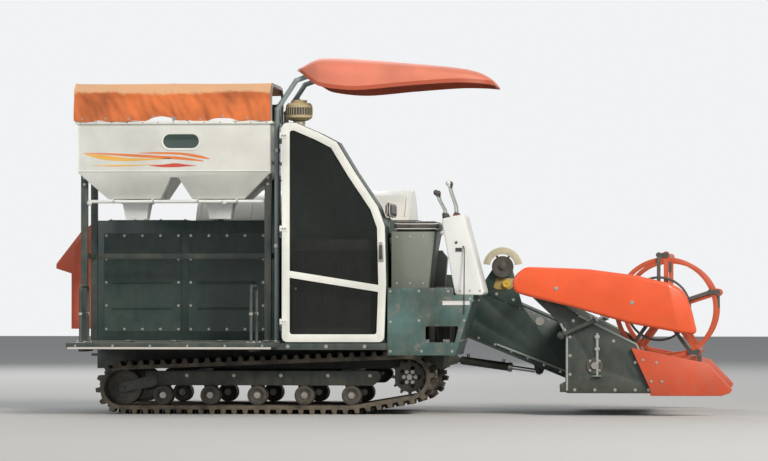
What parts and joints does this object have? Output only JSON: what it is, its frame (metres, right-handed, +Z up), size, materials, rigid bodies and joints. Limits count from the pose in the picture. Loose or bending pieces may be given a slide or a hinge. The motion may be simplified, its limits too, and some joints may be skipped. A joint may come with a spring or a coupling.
{
  "type": "tracked rice combine harvester",
  "caption": "Tracked rice combine harvester with a pick-up reel, feeder, side thresher, bagging tank, folding platform and open operator station under a canopy.",
  "frame": {"origin": "centre of the machine's plan outline, on the ground under the tracks", "axes": "+X forward, +Y to the machine's left, +Z up"},
  "size_m": [5.239, 2.4805, 2.696],
  "materials": {
    "frame_green": "satin",
    "machine_green": "satin",
    "cream": "semi-gloss",
    "orange": "semi-gloss",
    "canopy_orange": "satin",
    "track_rubber": "matt",
    "steel": "satin",
    "dark_iron": "matt",
    "tarp": "matt",
    "seat_vinyl": "satin",
    "beige_plastic": "matt",
    "mesh": "matt",
    "grey": "satin"
  },
  "bodies": {
    "root": {"chassis_frame": "frame_green", "gearbox": "dark_iron", "right_track": "track_rubber", "left_track": "track_rubber", "track_frames": "frame_green", "track_rollers": "dark_iron", "drive_sprockets": "dark_iron", "deck_plate": "grey", "grain_tank": "cream", "tank_stand": "frame_green", "bag_spouts": "cream", "tarp_hoops": "steel", "tank_tarp": "tarp", "engine_housing": "machine_green", "engine": "dark_iron", "radiator": "dark_iron", "pre_cleaner": "beige_plastic", "seat_base": "grey", "seat_cushion": "seat_vinyl", "seat_back": "seat_vinyl", "operator_floor": "grey", "step_panel": "machine_green", "front_column": "cream", "control_levers": "dark_iron", "side_console": "grey", "canopy": "canopy_orange", "canopy_post": "grey", "thresher_body": "machine_green", "rear_hood": "orange", "side_covers": "cream", "grain_elevator": "machine_green"},
    "door": {"screen_door": "cream", "door_mesh": "mesh"},
    "platform": {"folding_platform": "frame_green"},
    "cover": {"drum_cover": "cream"},
    "drum": {"threshing_drum": "steel"},
    "header": {"feeder_house": "machine_green", "header_frame": "machine_green", "cutter_bar": "steel", "crop_dividers": "orange", "pulley_guard": "cream"},
    "pulley": {"drive_pulley": "dark_iron"},
    "auger": {"header_auger": "steel"},
    "arms": {"reel_arms": "machine_green", "reel_cover": "orange"},
    "reel": {"reel_core": "orange"},
    "ring": {"feathering_ring": "dark_iron"},
    "bat_1": {"bat_1": "dark_iron"},
    "bat_2": {"bat_2": "dark_iron"},
    "bat_3": {"bat_3": "dark_iron"},
    "bat_4": {"bat_4": "dark_iron"},
    "bat_5": {"bat_5": "dark_iron"},
    "lift_barrel": {"lift_barrel": "frame_green"},
    "lift_rod": {"lift_rod": "steel"},
    "reel_barrels": {"reel_lift_barrels": "frame_green"},
    "reel_rods": {"reel_lift_rods": "steel"}
  },
  "joints": [
    {"name": "screen_door_swing", "type": "hinge", "parent": "root", "child": "door", "pos_m": [-0.765, -0.798, 1.3], "axis": [0, 0, -1], "range_deg": [0, 90]},
    {"name": "platform_fold", "type": "hinge", "parent": "root", "child": "platform", "pos_m": [-1.575, -0.806, 0.555], "axis": [-1, 0, 0], "range_deg": [0, 90]},
    {"name": "drum_cover_lift", "type": "hinge", "parent": "root", "child": "cover", "pos_m": [-0.7, 0.13, 1.49], "axis": [1, 0, 0], "range_deg": [0, 50]},
    {"name": "drum_spin", "type": "hinge", "parent": "root", "child": "drum", "pos_m": [-0.7, 0.59, 1.19], "axis": [1, 0, 0], "continuous": true},
    {"name": "header_lift", "type": "hinge", "parent": "root", "child": "header", "pos_m": [0.42, 0.525, 0.86], "axis": [0, -1, 0], "range_deg": [-2, 22]},
    {"name": "pulley_spin", "type": "hinge", "parent": "header", "child": "pulley", "pos_m": [0.85, 0.22, 1.12], "axis": [0, -1, 0], "continuous": true},
    {"name": "auger_spin", "type": "hinge", "parent": "header", "child": "auger", "pos_m": [1.6, 0.16, 0.376], "axis": [0, -1, 0], "continuous": true},
    {"name": "reel_lift", "type": "hinge", "parent": "header", "child": "arms", "pos_m": [1.12, 0.16, 0.985], "axis": [0, -1, 0], "range_deg": [-2, 15]},
    {"name": "reel_spin", "type": "hinge", "parent": "arms", "child": "reel", "pos_m": [2.13, 0.16, 0.8], "axis": [0, -1, 0], "continuous": true},
    {"name": "ring_spin", "type": "hinge", "parent": "arms", "child": "ring", "pos_m": [2.075, -0.826, 0.8], "axis": [0, -1, 0], "continuous": true},
    {"name": "bat_1_spin", "type": "hinge", "parent": "reel", "child": "bat_1", "pos_m": [2.13, 0.16, 1.2], "axis": [0, -1, 0], "continuous": true},
    {"name": "bat_2_spin", "type": "hinge", "parent": "reel", "child": "bat_2", "pos_m": [1.74958, 0.16, 0.92361], "axis": [0, -1, 0], "continuous": true},
    {"name": "bat_3_spin", "type": "hinge", "parent": "reel", "child": "bat_3", "pos_m": [1.89489, 0.16, 0.47639], "axis": [0, -1, 0], "continuous": true},
    {"name": "bat_4_spin", "type": "hinge", "parent": "reel", "child": "bat_4", "pos_m": [2.36511, 0.16, 0.47639], "axis": [0, -1, 0], "continuous": true},
    {"name": "bat_5_spin", "type": "hinge", "parent": "reel", "child": "bat_5", "pos_m": [2.51042, 0.16, 0.92361], "axis": [0, -1, 0], "continuous": true},
    {"name": "lift_barrel_tilt", "type": "hinge", "parent": "root", "child": "lift_barrel", "pos_m": [0.48, 0.45, 0.4], "axis": [0, -1, 0], "range_deg": [-2.5, 24]},
    {"name": "lift_rod_slide", "type": "slide", "parent": "lift_barrel", "child": "lift_rod", "axis": [0.9903, 0, -0.1393], "range_m": [-0.017, 0.178]},
    {"name": "reel_barrel_tilt", "type": "hinge", "parent": "header", "child": "reel_barrels", "pos_m": [1.35, 0.16, 0.6], "axis": [0, -1, 0], "range_deg": [-3, 16]},
    {"name": "reel_rod_slide", "type": "slide", "parent": "reel_barrels", "child": "reel_rods", "axis": [0.9102, 0, 0.4141], "range_m": [-0.017, 0.119]}
  ],
  "couplings": [
    {"joint": "ring_spin", "follows": "reel_spin", "ratio": 1},
    {"joint": "bat_1_spin", "follows": "reel_spin", "ratio": -1},
    {"joint": "bat_2_spin", "follows": "reel_spin", "ratio": -1},
    {"joint": "bat_3_spin", "follows": "reel_spin", "ratio": -1},
    {"joint": "bat_4_spin", "follows": "reel_spin", "ratio": -1},
    {"joint": "bat_5_spin", "follows": "reel_spin", "ratio": -1},
    {"joint": "lift_barrel_tilt", "follows": "header_lift", "ratio": 1.0641},
    {"joint": "lift_rod_slide", "follows": "header_lift", "m_per_rad": 0.45834},
    {"joint": "reel_barrel_tilt", "follows": "reel_lift", "ratio": 1.0026},
    {"joint": "reel_rod_slide", "follows": "reel_lift", "m_per_rad": 0.44731}
  ]
}
